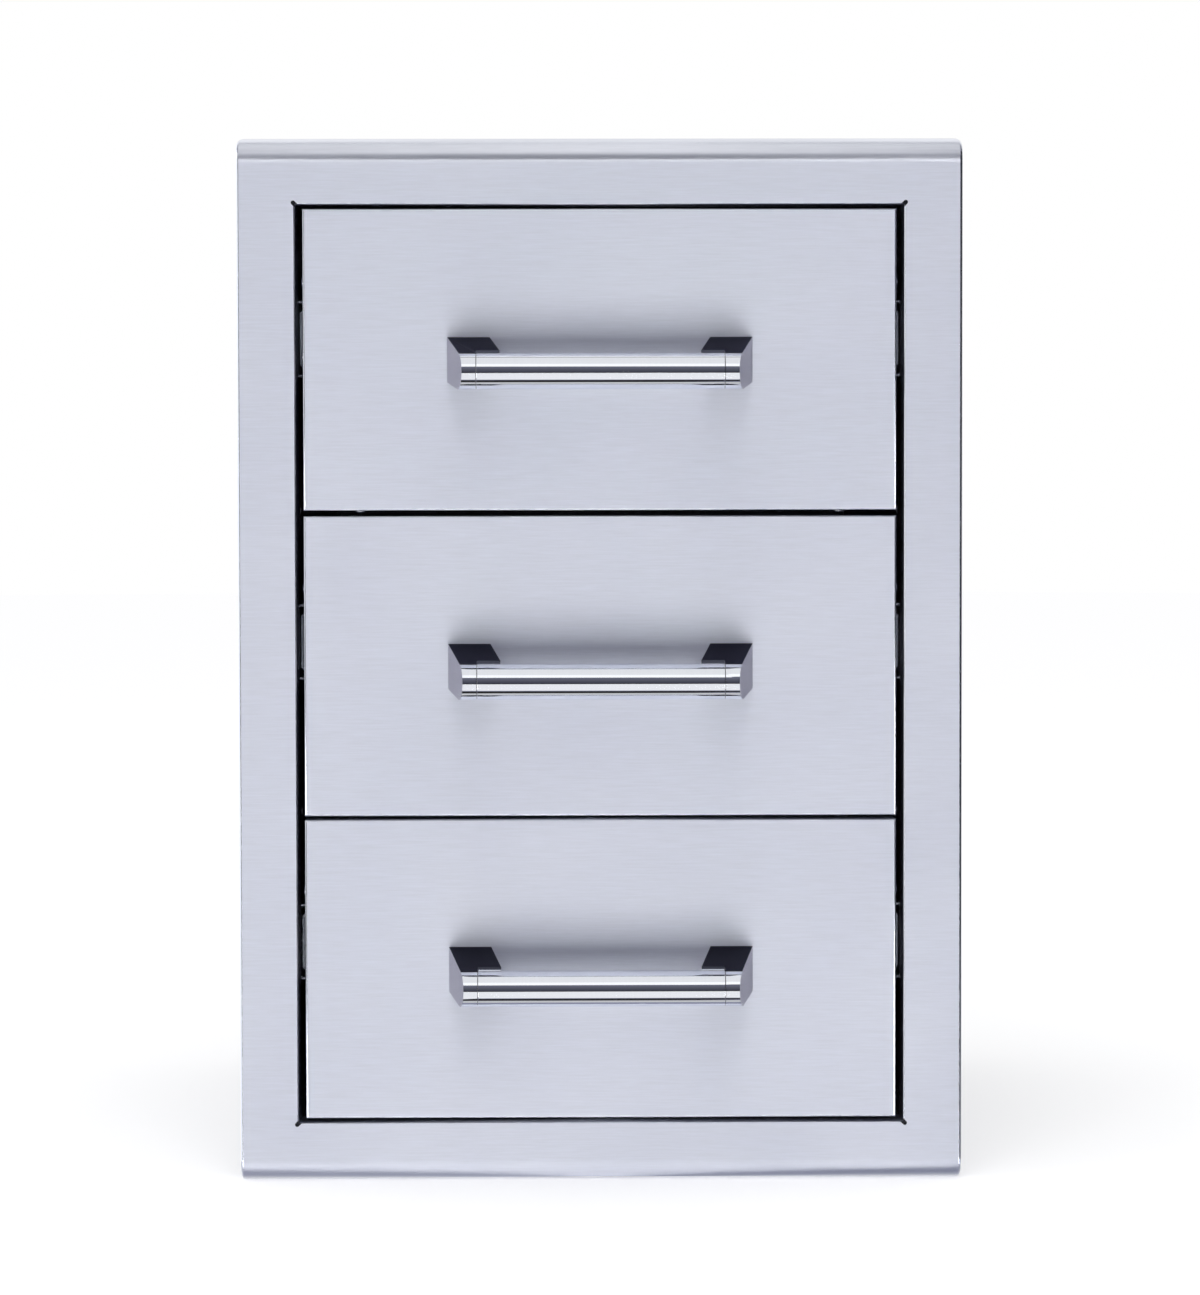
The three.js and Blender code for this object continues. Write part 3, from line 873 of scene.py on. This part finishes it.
drag(tub, is_front_middle, (0, 0, tub_flange))
for way in (-1, 1):
    drag(tub, lambda e: is_front_upright(e, way * tub_half), (-way * tub_flange, 0, 0))
    drag(tub, lambda e: on(e, 2, flange_under) and on(e, 0, way * tub_half) and along(e, 1),
         (way * (tub_high.x - tub_half), 0, 0))
face_outwards(tub)
bevel(tub, is_fold, tub_bend, steps=4)
thicken(tub, tub_sheet)
print("tub:", len(tub.data.polygons), "faces")

# %% Tub: edges
ease(tub)
for_each_drawer(tub, "drawer_tub", drawer_sheet, "drawer_sheet")
print("tubs: 3")

# %% The drawer's back
back_low, back_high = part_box("lower_drawer_back")
back = block("back", back_low, back_high)
drop_faces(back, lambda f: f.normal.y < -square or f.normal.z > square)
bevel(back, is_fold, tub_bend, steps=4)
thicken(back, tub_sheet)
ease(back)
for_each_drawer(back, "drawer_back", drawer_sheet, "drawer_sheet")
print("drawer back:", len(back.data.polygons), "faces")

# %% [markdown]
# ## The slides
#
# A ball-bearing slide is three channels of formed strip, one inside the other, with two cages of balls
# between them. The edges of the strip are rolled into grooves for the balls. Each channel starts as a
# box without its ends and its open side. Its lips are extruded from the open edges, and wide bevels
# make the grooves.

# %% Rails
rail_sheet = 1.2 * mm
race_lip = 4.1 * mm
race_bend = 2.2 * mm
plain_bend = 0.7 * race_bend
screw_inset = 50 * mm
hole_radius = 2.6 * mm
hole_past_screw = 22 * mm
drill_x, drill_length = 175 * mm, 40 * mm


def rail_channel(kind, open_way, lip):
    """A right-hand rail from its CAD box, open towards one side, with or without lips."""
    low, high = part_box(f"lower_{kind}_right")
    piece = block(kind, low, high)
    drop_faces(piece, lambda f: across(f, 1) or f.normal.x * open_way > square)
    mouth = high.x if open_way > 0 else low.x
    if lip:
        for z, way in ((high.z, -1), (low.z, 1)):
            drag(piece, lambda e: on(e, 0, mouth) and on(e, 2, z) and along(e, 1), (0, 0, way * lip))
    face_outwards(piece)
    bevel(piece, is_fold, race_bend if lip else plain_bend, steps=5)
    thicken(piece, rail_sheet)
    return piece


def hand_over_pair(piece, kind, material, slot, body):
    """The right-hand piece and its mirror image, at each drawer."""
    mirrored = copy_of(piece, kind + "_left", mirror=True)
    for_each_drawer(piece, kind + "_right", material, slot, body)
    for_each_drawer(mirrored, kind + "_left", material, slot, body)


rail_low, rail_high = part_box("lower_outer_rail_right")
rail_middle = (rail_low.z + rail_high.z) / 2
screw_spots = [rail_low.y + screw_inset, (rail_low.y + rail_high.y) / 2, rail_high.y - screw_inset]
outer_rail = rail_channel("outer_rail", -1, race_lip)
middle_rail = rail_channel("middle_rail", -1, race_lip)
inner_rail = rail_channel("inner_rail", 1, 0)
for rail in (outer_rail, middle_rail, inner_rail):
    holes = [(drill_x, y + hole_past_screw, rail_middle) for y in screw_spots[:2]]
    cut_with(rail, *[round_rod("cutter", hole, hole_radius, drill_length, "X", sides=20) for hole in holes])
hand_over_pair(outer_rail, "outer_rail", slide_strip, "slide_rail", "case")
hand_over_pair(middle_rail, "middle_rail", slide_strip, "slide_rail", "{}_middle_rails")
hand_over_pair(inner_rail, "inner_rail", slide_strip, "slide_rail", "{}_drawer")
print("rails:", [len(rail.data.polygons) for rail in (outer_rail, middle_rail, inner_rail)], "faces")

# %% Ball cages
cage_sheet = 0.5 * mm
case_inner = 182.6 * mm
balls_per_row = 8
ball_margin = 8 * mm
cage_bend = 0.9 * mm


def ball_cage(kind, back, depth, ball_height, ball_radius, ball_offset):
    """A right-hand cage: a thin channel with a row of balls in each flange.

    back is how far the channel lies from the case side, and ball_offset how far the balls lie from it.
    """
    low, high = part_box(f"lower_{kind}_right")
    half = ball_height + cage_sheet / 2
    x = case_inner - back
    strip = block(kind, (x - depth, low.y, rail_middle - half), (x, high.y, rail_middle + half))
    drop_faces(strip, lambda f: across(f, 1) or f.normal.x < -square)
    bevel(strip, is_fold, cage_bend, steps=3)
    thicken(strip, cage_sheet)
    first, last = low.y + ball_margin, high.y - ball_margin
    row = [first + i * (last - first) / (balls_per_row - 1) for i in range(balls_per_row)]
    calm()
    bpy.ops.mesh.primitive_uv_sphere_add(segments=14, ring_count=8, radius=ball_radius)
    ball = settle("ball")
    copies = [copy_of(ball, "ball", (x - ball_offset, y, rail_middle + way * ball_height))
              for y in row for way in (-1, 1)]
    bpy.data.objects.remove(ball)
    return merge(strip, *copies)


outer_cage = ball_cage("outer_cage", back=1.8 * mm, depth=7.0 * mm,
                       ball_height=19.25 * mm, ball_radius=2.0 * mm, ball_offset=4.5 * mm)
inner_cage = ball_cage("inner_cage", back=4.1 * mm, depth=5.7 * mm,
                       ball_height=13.85 * mm, ball_radius=1.6 * mm, ball_offset=3.2 * mm)
hand_over_pair(outer_cage, "outer_cage", cage_strip, "ball_cage", "{}_outer_cages")
hand_over_pair(inner_cage, "inner_cage", cage_strip, "ball_cage", "{}_inner_cages")
print("cages:", len(outer_cage.data.polygons), len(inner_cage.data.polygons), "faces")

# %% [markdown]
# ## The case
#
# The case carries the slides and is only seen from the sides, the back and through an open drawer. It is
# five folded sheets. The photograph doesn't show them, so they follow the usual way of making one.

# %% Case sides
case_sheet_gauge = 1 * mm
case_bend = 1.8 * mm
mount_radius = 2.5 * mm
mount_inset = 40 * mm
mount_drill = 12 * mm
side_low, side_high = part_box("case_right_side")

side = block("case_side_right", side_low, side_high)
drop_faces(side, lambda f: f.normal.x < -square or f.normal.y < -square or across(f, 2))
bevel(side, is_fold, case_bend, steps=4)
thicken(side, case_sheet_gauge)
mount_rows = (front_high.z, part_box("upper_drawer_front")[0].z)
cut_with(side, *[round_rod("cutter", (side_high.x, y, z), mount_radius, mount_drill, "X", sides=24)
                 for y in (rail_low.y + mount_inset, rail_high.y - mount_inset) for z in mount_rows])
left_side = copy_of(side, "case_side_left", mirror=True)
ease(side)
ease(left_side)
hand_over(side, case_sheet, "case", "case_sheet", "case_right_side")
hand_over(left_side, case_sheet, "case", "case_sheet", "case_left_side")
print("case sides:", len(side.data.polygons), "faces each")

# %% Case top and bottom
fold_start = 12 * mm
cover_bend = 0.8 * case_bend


def case_cover(name, kind, way):
    """The top (way 1) or the bottom (way -1), with its long edges folded towards the drawers."""
    low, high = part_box(kind)
    piece = block(name, low, high)
    drop_faces(piece, lambda f: across(f, 1) or f.normal.z * way < -square)
    slice_at(piece, (0, fold_start, 0), (0, 1, 0), lambda f: across(f, 0))
    drop_faces(piece, lambda f: across(f, 0) and f.calc_center_median().y < fold_start)
    bevel(piece, is_fold, cover_bend, steps=4)
    thicken(piece, case_sheet_gauge)
    ease(piece)
    return hand_over(piece, case_sheet, "case", "case_sheet", kind)


top = case_cover("case_roof", "case_top", 1)
bottom = case_cover("case_floor", "case_bottom", -1)
print("covers:", len(top.data.polygons), len(bottom.data.polygons), "faces")

# %% Case back with vents
rear_low, rear_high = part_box("case_back")
fold_half = 167.3 * mm
fold_inset = 1.3 * mm
vent_width, vent_length, vent_pitch, vent_inset = 6 * mm, 60 * mm, 16 * mm, 70 * mm
vent_cut = 5 * mm
vents_in_row = 6

rear = block("case_rear", (rear_low.x, rear_high.y - case_sheet_gauge, rear_low.z), rear_high)
folds = [block("fold", (-fold_half, rear_low.y, z),
               (fold_half, rear_high.y - 0.5 * case_sheet_gauge, z + case_sheet_gauge))
         for z in (rear_low.z + fold_inset, rear_high.z - fold_inset - case_sheet_gauge)]
vent = block("vent", (-vent_width / 2, rear_high.y - vent_cut, -vent_length / 2),
             (vent_width / 2, rear_high.y + vent_cut, vent_length / 2))
bevel(vent, lambda e: along(e, 1), round_end * vent_width / 2, steps=6)
vents = [copy_of(vent, "vent", ((i - (vents_in_row - 1) / 2) * vent_pitch, 0, z))
         for i in range(vents_in_row) for z in (rear_low.z + vent_inset, rear_high.z - vent_inset)]
bpy.data.objects.remove(vent)
cut_with(rear, merge(*vents))
merge(rear, *folds)
soften(rear, 0.2 * mm, 2, sharper_than=60)
hand_over(rear, case_sheet, "case", "case_sheet", "case_back")
print("back:", len(rear.data.polygons), "faces")

# %% [markdown]
# ## Screws and rivets
#
# Bright pan-head screws show in the gaps around the fronts, and hold the handles from inside. Rivets
# join the case and carry the slides. One head of each kind is modelled, then copied to every place, and
# the heads of one drawer are joined into one piece.

# %% One screw head and one rivet head
def screw_head(radius, height):
    """A domed head on z = 0, with a cross recess."""
    dome, arm, thick, recess_floor = height * 0.6, radius * 0.62, radius * 0.2, height * 0.45
    head = round_rod("head", (0, 0, height / 2), radius, height, "Z", sides=28)
    bevel(head, lambda e: on(e, 2, height), dome, steps=4)
    for x, y in ((arm, thick), (thick, arm)):
        cut_with(head, block("cutter", (-x, -y, recess_floor), (x, y, height * 2)))
    return head


def rivet_head(radius, height):
    """A low dome on z = 0 with the small pit that the pin leaves."""
    dome, pit_rim, pit_depth = height * 0.7, radius * 0.12, height * 0.35
    head = round_rod("head", (0, 0, height / 2), radius, height, "Z", sides=20)
    bevel(head, lambda e: on(e, 2, height), dome, steps=3)
    pick(head, "FACE", lambda f: on(f, 2, height))
    bpy.ops.mesh.inset(thickness=pit_rim)
    extrude((0, 0, -pit_depth))
    bpy.ops.transform.resize(value=(0.8, 0.8, 1))
    calm()
    return head


def head_at(model, spot, way):
    """A copy of a head on a surface, its top looking along a direction."""
    twin = copy_of(model, "head")
    turn = Vector(way).to_track_quat("Z", "Y").to_matrix().to_4x4()
    twin.data.transform(Matrix.Translation(spot) @ turn)
    return twin


def heads(name, model, spots, body, slot):
    """One piece with a head at each spot."""
    twins = [head_at(model, spot, way) for spot, way in spots]
    hand_over(named(merge(*twins), name), screw_steel, body, slot)


small_screw = screw_head(3.0 * mm, 1.3 * mm)
handle_screw = screw_head(4.4 * mm, 2.6 * mm)
rivet = rivet_head(3.0 * mm, 0.9 * mm)
print("heads:", [len(h.data.polygons) for h in (small_screw, handle_screw, rivet)])

# %% Put the heads in place
return_depth = front_low.y + 11 * mm
under_x = 143 * mm
beside_height = 136 * mm
second_height = 92 * mm
inside_face = front_low.y + front_sheet
inner_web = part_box("lower_inner_rail_right")[0].x + rail_sheet
back_rivet_y = back_high.y - 6 * mm
back_rivet_heights = (18 * mm, 42 * mm)
cover_rivet_depths = (40 * mm, 180 * mm, 320 * mm, 460 * mm)
cover_rivet_inset = 7 * mm

for name in drawers:
    up = lift[name]
    under = [((x, return_depth, front_low.z + up), (0, 0, -1)) for x in (-under_x, under_x)]
    beside = [((x, return_depth, front_low.z + up + beside_height), (way, 0, 0))
              for x, way in ((front_low.x, -1), (front_high.x, 1))]
    if name == "upper":
        beside.append(((front_low.x, return_depth, front_low.z + up + second_height), (-1, 0, 0)))
    heads(f"{name}_front_screws", small_screw, under + beside, f"{name}_drawer", "brushed_front")
    heads(f"{name}_handle_screws", handle_screw,
          [((x, inside_face, base_middle + up), (0, 1, 0)) for x in (-handle_screw_x, handle_screw_x)],
          f"{name}_drawer", "handle_post")
    heads(f"{name}_rail_screws", small_screw,
          [((way * inner_web, y, rail_middle + up), (way, 0, 0)) for way in (-1, 1) for y in screw_spots],
          f"{name}_drawer", "slide_rail")
    heads(f"{name}_back_rivets", rivet,
          [((way * tub_half, back_rivet_y, tub_low.z + up + height), (way, 0, 0))
           for way in (-1, 1) for height in back_rivet_heights],
          f"{name}_drawer", "drawer_sheet")
case_spots = [((way * side_high.x, y, rail_middle + lift[name]), (way, 0, 0))
              for way in (-1, 1) for y in screw_spots for name in drawers]
case_spots += [((way * side_high.x, y, z), (way, 0, 0)) for way in (-1, 1) for y in cover_rivet_depths
               for z in (side_low.z + cover_rivet_inset, side_high.z - cover_rivet_inset)]
heads("case_rivets", rivet, case_spots, "case", "case_sheet")
for model in (small_screw, handle_screw, rivet):
    bpy.data.objects.remove(model)
print("rivets in the case:", len(case_spots))

# %% [markdown]
# ## The studio
#
# A pale floor and an even white surround light the steel. Bare steel only shows what it reflects, so a
# photographer puts cards round it. A dark band at eye height and a dim ceiling give the bars and the
# roll their dark lines. Light from low in front fills the brushed fronts, whose grain smears it up and
# down, and each bar keeps some of it from the sheet above, which is the soft shadow there. Narrow
# strips straight ahead are seen mostly by the bars. A light card on the left and a dark one on the
# right draw the folds at the sides. The camera sees none of the cards.
#
# A curved card is given by its bearings and elevations in degrees, its light at both edges and its
# radius. A level one is given by its half width, its reach along Y, its height and its light.

# %% Paint for the studio
white, black = (1, 1, 1), (0, 0, 0)


def paint(name, colour, glow, tint=white):
    """A matt paint with a light of its own."""
    material, shader = new_material(name)
    give(shader, {"Base Color": (*colour, 1), "Roughness": 0.9, "Specular IOR Level": 0.0,
                  "Emission Color": (*tint, 1), "Emission Strength": glow})
    return material, shader


# %% Floor
floor_radius = 14
floor_glow = 0.3
floor_gap = 0.3 * mm

calm()
bpy.ops.mesh.primitive_circle_add(
    vertices=96, radius=floor_radius, fill_type="NGON", location=(0, 0, trim_low.z - floor_gap))
floor = settle("floor")
floor_paint, shader = paint("floor", (0.86, 0.86, 0.87), floor_glow)
path = node_in(floor_paint.node_tree, "ShaderNodeLightPath")
seen_glow = maths(floor_paint.node_tree, "MULTIPLY", path.outputs["Is Camera Ray"], floor_glow)
give(shader, {"Emission Strength": seen_glow})
floor.data.materials.append(floor_paint)
floor.visible_glossy = False

# %% Cards round the studio
eye_height = 0.3
card_radius = 40.0


def seen_only_by_steel(piece):
    """Hide a card from all but reflections."""
    piece.visible_camera = False
    piece.visible_diffuse = False
    piece.visible_shadow = False
    return piece


def bearing(point):
    """The direction to a point, in degrees from the front towards the right."""
    return degrees(atan2(point.x, -point.y))


def card(name, turns, angles, levels, radius=card_radius, tint=white):
    """A curved card between two bearings and two elevations, with its light at the low and high edge."""
    low, high = (eye_height + radius * tan(radians(angle)) for angle in angles)
    calm()
    bpy.ops.mesh.primitive_cylinder_add(vertices=180, radius=radius, depth=high - low,
                                        end_fill_type="NOTHING", location=(0, 0, (low + high) / 2))
    piece = settle(name)
    drop_faces(piece, lambda f: not turns[0] < bearing(f.calc_center_median()) < turns[1])
    material, shader = paint(name, black, 0, tint)
    tree = material.node_tree
    fade = node_in(tree, "ShaderNodeMapRange", {"Value": object_height(tree), "From Min": low,
                                                "From Max": high, "To Min": levels[0], "To Max": levels[1]})
    give(shader, {"Emission Strength": fade.outputs["Result"]})
    piece.data.materials.append(material)
    return seen_only_by_steel(piece)


def level_card(name, x_reach, y_range, height, level, tint=white):
    """A level card, overhead or underfoot, at a height above the eye."""
    calm()
    bpy.ops.mesh.primitive_plane_add(size=1)
    piece = bpy.context.object
    piece.scale = (2 * x_reach, y_range[1] - y_range[0], 1)
    piece.location = (0, sum(y_range) / 2, eye_height + height)
    settle(name)
    piece.data.materials.append(paint(name, black, level, tint)[0])
    return seen_only_by_steel(piece)


print("eye height:", eye_height, "m")

# %% Cards
all_round = (-180, 180)
straight_ahead = (-8, 8)
at_eye_height = (-13, 34)
dusk = (0.76, 0.78, 1.0)
grey_radius = 0.95 * card_radius
front_radius = 0.9 * card_radius
strip_radius = 0.8 * card_radius
high_radius = 0.6 * card_radius
ceiling_height = card_radius * tan(radians(at_eye_height[1]))
strip_height = 0.95 * ceiling_height
well_reach = 88
well_depth = -135

cards = [card("pale_ring", all_round, (-57, 34), (0.85, 0.85)),
         card("grey_front", (-95, 95), (-57, 34), (0.55, 0.55), grey_radius, dusk),
         card("dark_front", (-36, 40), at_eye_height, (0.045, 0.26), front_radius, dusk),
         card("front_light", (-18, 18), (-45, -13), (9.0, 9.0), front_radius),
         card("bright_strip", straight_ahead, (28.5, 46), (1.2, 1.2), high_radius),
         card("pale_strip", (-7, 7), (-56, -13), (1.0, 1.0), strip_radius),
         card("dark_line", straight_ahead, (-76, -60), (0.03, 0.03), strip_radius),
         card("right_dark", (40, 115), at_eye_height, (0.012, 0.012), front_radius, dusk),
         card("left_light", (-150, -36), at_eye_height, (1.25, 1.25), front_radius)]
cards += [level_card("ceiling", card_radius, (-card_radius, card_radius), ceiling_height, 0.23, dusk),
          level_card("over_front", 5.5, (-26.5, 2.5), strip_height, 0.92),
          level_card("over_rear", card_radius, (4.5, card_radius), strip_height, 1.0),
          level_card("underfoot", well_reach, (-well_reach, well_reach), well_depth, 0.4, dusk),
          level_card("under_strip", 6, (-10, 2), -41, 0.65)]
print("cards:", [c.name for c in cards])

# %% World and lamp
world = bpy.data.worlds.new("studio")
bpy.context.scene.world = world
world.use_nodes = True
sky = world.node_tree
path = node_in(sky, "ShaderNodeLightPath")
seen = maths(sky, "MAXIMUM", path.outputs["Is Camera Ray"], path.outputs["Is Glossy Ray"])
seen = maths(sky, "MAXIMUM", seen, path.outputs["Is Transmission Ray"])
level = node_in(sky, "ShaderNodeMapRange", {"Value": seen, "To Min": 0.8, "To Max": 1.0})
give(sky.nodes["Background"], {"Color": (*white, 1), "Strength": level.outputs["Result"]})

key_place, key_aim = Vector((-0.2, -2.6, 2.8)), Vector((0, 0, eye_height))
key_turn = (key_aim - key_place).to_track_quat("-Z", "Y").to_matrix().to_4x4()
key = bpy.data.objects.new("key", bpy.data.lights.new("key", "AREA"))
bpy.context.scene.collection.objects.link(key)
key.data.shape = "RECTANGLE"
key.data.size, key.data.size_y = 2.4, 1.2
key.data.energy = 40
key.matrix_world = Matrix.Translation(key_place) @ key_turn
key.visible_glossy = False
